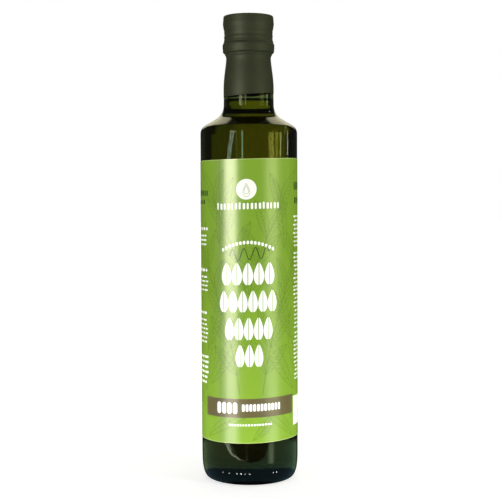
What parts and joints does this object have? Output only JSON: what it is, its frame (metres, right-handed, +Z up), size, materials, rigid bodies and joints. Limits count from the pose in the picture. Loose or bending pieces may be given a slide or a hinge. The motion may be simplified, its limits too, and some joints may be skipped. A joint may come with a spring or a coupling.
{
  "type": "olive oil bottle",
  "caption": "Tall round dark glass bottle of olive oil with a wraparound green label and a matte shrink capsule over its cap.",
  "frame": {"origin": "middle of the foot ring, on the surface that the bottle stands on", "axes": "+Z up along the bottle's axis, -Y towards the middle of the label, +X to the right as the label is read"},
  "size_m": [0.0614, 0.0612, 0.2916],
  "materials": {
    "dark_glass": "gloss",
    "oil": "gloss",
    "label_stock": "satin",
    "capsule_film": "matte"
  },
  "bodies": {
    "root": {"glass_bottle": "dark_glass", "oil": "oil", "label": "label_stock", "capsule": "capsule_film"}
  },
  "joints": []
}
